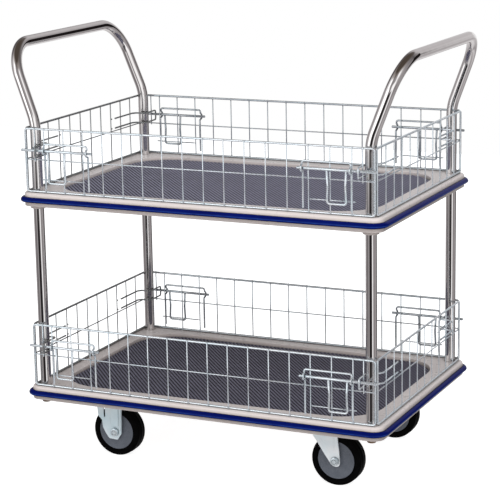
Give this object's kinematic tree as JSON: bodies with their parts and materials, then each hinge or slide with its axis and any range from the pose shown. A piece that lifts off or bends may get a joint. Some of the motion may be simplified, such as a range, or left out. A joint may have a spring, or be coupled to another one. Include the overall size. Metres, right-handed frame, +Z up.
{
  "type": "platform trolley",
  "caption": "Two-deck platform trolley with rubber-matted trays, low wire mesh sides held by sliding bolts, bent tube push handles at both ends, bumpers and casters.",
  "frame": {"origin": "on the floor, under the middle of the trolley's bounding box", "axes": "+Z up, X along the length with the swivel casters at +X, -Y the front long side"},
  "size_m": [0.9766, 0.6, 0.9863],
  "materials": {
    "enamel_cream": "smooth baked enamel, semi-gloss",
    "mat_rubber_grey": "dark grey ribbed rubber matting",
    "pvc_blue": "navy blue moulded PVC bumper",
    "tube_chrome": "bright chrome plate",
    "wire_zinc": "bright zinc-plated welded wire",
    "plug_steel": "yellowish passivated steel",
    "bracket_zinc": "bright blue-white zinc-plated pressed steel",
    "tyre_rubber": "black solid rubber tyre",
    "hub_plastic_grey": "grey moulded plastic wheel centre",
    "fastener_zinc": "zinc-plated bolts and nuts"
  },
  "bodies": {
    "chassis": {"deck_lower": "enamel_cream", "mat_lower": "mat_rubber_grey", "bumper_lower": "pvc_blue", "mesh_side_lower_front": "wire_zinc", "mesh_side_lower_rear": "wire_zinc", "mesh_end_lower_left": "wire_zinc", "mesh_end_lower_right": "wire_zinc", "deck_upper": "enamel_cream", "mat_upper": "mat_rubber_grey", "bumper_upper": "pvc_blue", "mesh_side_upper_front": "wire_zinc", "mesh_side_upper_rear": "wire_zinc", "mesh_end_upper_left": "wire_zinc", "mesh_end_upper_right": "wire_zinc", "handle_tube_left": "tube_chrome", "handle_tube_right": "tube_chrome", "post_plug_front_left": "plug_steel", "post_plug_front_right": "plug_steel", "post_plug_rear_left": "plug_steel", "post_plug_rear_right": "plug_steel", "caster_bracket_front_left": "bracket_zinc", "swivel_plate_front_right": "bracket_zinc", "kingpin_front_right": "fastener_zinc", "axle_sleeve_front_left": "fastener_zinc", "axle_bolt_front_left": "fastener_zinc", "axle_nut_front_left": "fastener_zinc", "caster_bracket_rear_left": "bracket_zinc", "swivel_plate_rear_right": "bracket_zinc", "kingpin_rear_right": "fastener_zinc", "axle_sleeve_rear_left": "fastener_zinc", "axle_bolt_rear_left": "fastener_zinc", "axle_nut_rear_left": "fastener_zinc"},
    "bolt_lower_front_left": {"latch_bolt_lower_front_left": "wire_zinc"},
    "bolt_lower_front_right": {"latch_bolt_lower_front_right": "wire_zinc"},
    "bolt_lower_rear_left": {"latch_bolt_lower_rear_left": "wire_zinc"},
    "bolt_lower_rear_right": {"latch_bolt_lower_rear_right": "wire_zinc"},
    "bolt_upper_front_left": {"latch_bolt_upper_front_left": "wire_zinc"},
    "bolt_upper_front_right": {"latch_bolt_upper_front_right": "wire_zinc"},
    "bolt_upper_rear_left": {"latch_bolt_upper_rear_left": "wire_zinc"},
    "bolt_upper_rear_right": {"latch_bolt_upper_rear_right": "wire_zinc"},
    "wheel_front_left": {"tyre_front_left": "tyre_rubber", "hub_front_left": "hub_plastic_grey"},
    "fork_front_right": {"swivel_fork_front_right": "bracket_zinc", "axle_sleeve_front_right": "fastener_zinc", "axle_bolt_front_right": "fastener_zinc", "axle_nut_front_right": "fastener_zinc"},
    "wheel_front_right": {"tyre_front_right": "tyre_rubber", "hub_front_right": "hub_plastic_grey"},
    "wheel_rear_left": {"tyre_rear_left": "tyre_rubber", "hub_rear_left": "hub_plastic_grey"},
    "fork_rear_right": {"swivel_fork_rear_right": "bracket_zinc", "axle_sleeve_rear_right": "fastener_zinc", "axle_bolt_rear_right": "fastener_zinc", "axle_nut_rear_right": "fastener_zinc"},
    "wheel_rear_right": {"tyre_rear_right": "tyre_rubber", "hub_rear_right": "hub_plastic_grey"}
  },
  "joints": [
    {"name": "slide_bolt_lower_front_left", "type": "slide", "parent": "chassis", "child": "bolt_lower_front_left", "axis": [1, 0, 0], "range_m": [0, 0.048]},
    {"name": "slide_bolt_lower_front_right", "type": "slide", "parent": "chassis", "child": "bolt_lower_front_right", "axis": [-1, 0, 0], "range_m": [0, 0.048]},
    {"name": "slide_bolt_lower_rear_left", "type": "slide", "parent": "chassis", "child": "bolt_lower_rear_left", "axis": [1, 0, 0], "range_m": [0, 0.048]},
    {"name": "slide_bolt_lower_rear_right", "type": "slide", "parent": "chassis", "child": "bolt_lower_rear_right", "axis": [-1, 0, 0], "range_m": [0, 0.048]},
    {"name": "slide_bolt_upper_front_left", "type": "slide", "parent": "chassis", "child": "bolt_upper_front_left", "axis": [1, 0, 0], "range_m": [0, 0.048]},
    {"name": "slide_bolt_upper_front_right", "type": "slide", "parent": "chassis", "child": "bolt_upper_front_right", "axis": [-1, 0, 0], "range_m": [0, 0.048]},
    {"name": "slide_bolt_upper_rear_left", "type": "slide", "parent": "chassis", "child": "bolt_upper_rear_left", "axis": [1, 0, 0], "range_m": [0, 0.048]},
    {"name": "slide_bolt_upper_rear_right", "type": "slide", "parent": "chassis", "child": "bolt_upper_rear_right", "axis": [-1, 0, 0], "range_m": [0, 0.048]},
    {"name": "spin_wheel_front_left", "type": "hinge", "parent": "chassis", "child": "wheel_front_left", "pos_m": [-0.262, -0.18, 0.06], "axis": [0, 1, 0], "continuous": true},
    {"name": "swivel_front_right", "type": "hinge", "parent": "chassis", "child": "fork_front_right", "pos_m": [0.262, -0.18, 0.1568], "axis": [0, 0, 1], "continuous": true},
    {"name": "spin_wheel_front_right", "type": "hinge", "parent": "fork_front_right", "child": "wheel_front_right", "pos_m": [0.298, -0.18, 0.06], "axis": [0, 1, 0], "continuous": true},
    {"name": "spin_wheel_rear_left", "type": "hinge", "parent": "chassis", "child": "wheel_rear_left", "pos_m": [-0.262, 0.18, 0.06], "axis": [0, 1, 0], "continuous": true},
    {"name": "swivel_rear_right", "type": "hinge", "parent": "chassis", "child": "fork_rear_right", "pos_m": [0.262, 0.18, 0.1568], "axis": [0, 0, 1], "continuous": true},
    {"name": "spin_wheel_rear_right", "type": "hinge", "parent": "fork_rear_right", "child": "wheel_rear_right", "pos_m": [0.298, 0.18, 0.06], "axis": [0, 1, 0], "continuous": true}
  ]
}
